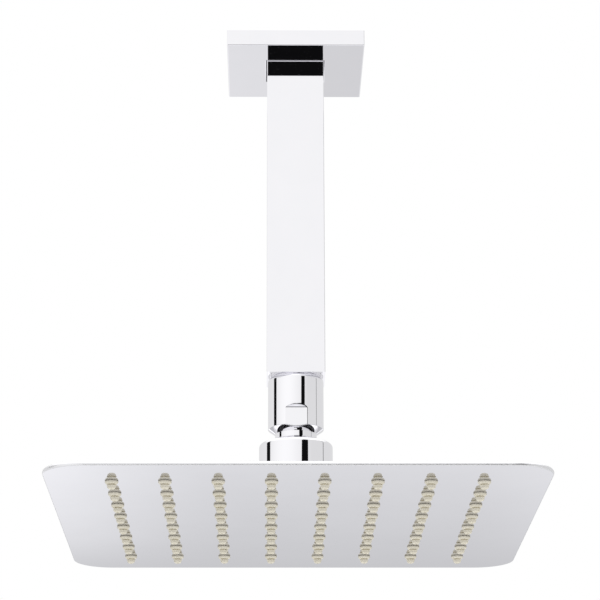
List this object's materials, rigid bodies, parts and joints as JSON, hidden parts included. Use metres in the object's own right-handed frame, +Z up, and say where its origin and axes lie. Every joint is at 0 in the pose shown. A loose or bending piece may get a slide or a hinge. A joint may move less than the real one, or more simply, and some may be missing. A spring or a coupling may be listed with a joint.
{
  "type": "rain shower head",
  "caption": "Square rain shower head with soft nozzles, on a ball swivel under a square ceiling arm with a sliding cover flange and a threaded inlet.",
  "frame": {"origin": "where the arm's axis meets the ceiling, at the root of the inlet thread", "axes": "+Z up along the arm towards the ceiling; the spanner flats face -Y and +Y; +X to the right seen from -Y"},
  "size_m": [0.2, 0.2, 0.2233],
  "materials": {
    "chrome": "polished chrome plate on brass",
    "polished_steel": "mirror-polished stainless sheet",
    "bare_steel": "plain stainless steel",
    "brass": "turned brass",
    "silicone": "moulded cream silicone",
    "black_rubber": "moulded black rubber",
    "white_plastic": "moulded acetal",
    "black_plastic": "moulded black acetal"
  },
  "bodies": {
    "arm": {"arm_tube": "chrome", "inlet_nipple": "brass", "outlet_nipple": "chrome", "connector_body": "chrome", "inlet_washer": "black_rubber", "filter_screen": "bare_steel", "flow_restrictor": "white_plastic", "stud_seal": "black_rubber", "ball_stud": "chrome"},
    "flange": {"ceiling_flange": "chrome", "flange_gasket": "black_rubber"},
    "tilt_ring": {"glide_ring": "black_plastic"},
    "seal_cup": {"ball_seal": "black_rubber"},
    "head": {"collar_nut": "chrome", "head_boss": "chrome", "top_shell": "polished_steel", "face_plate": "polished_steel", "stay_pins": "bare_steel", "nozzles": "silicone"}
  },
  "joints": [
    {"name": "flange_slide", "type": "slide", "parent": "arm", "child": "flange", "axis": [0, 0, 1], "range_m": [-0.135, 0]},
    {"name": "tilt_front_back", "type": "hinge", "parent": "arm", "child": "tilt_ring", "pos_m": [0, 0, -0.18495], "axis": [1, 0, 0], "range_deg": [-12, 12]},
    {"name": "tilt_side", "type": "hinge", "parent": "tilt_ring", "child": "seal_cup", "pos_m": [0, 0, -0.18495], "axis": [0, 1, 0], "range_deg": [-12, 12]},
    {"name": "head_swivel", "type": "hinge", "parent": "seal_cup", "child": "head", "pos_m": [0, 0, -0.18495], "axis": [0, 0, 1], "continuous": true}
  ]
}
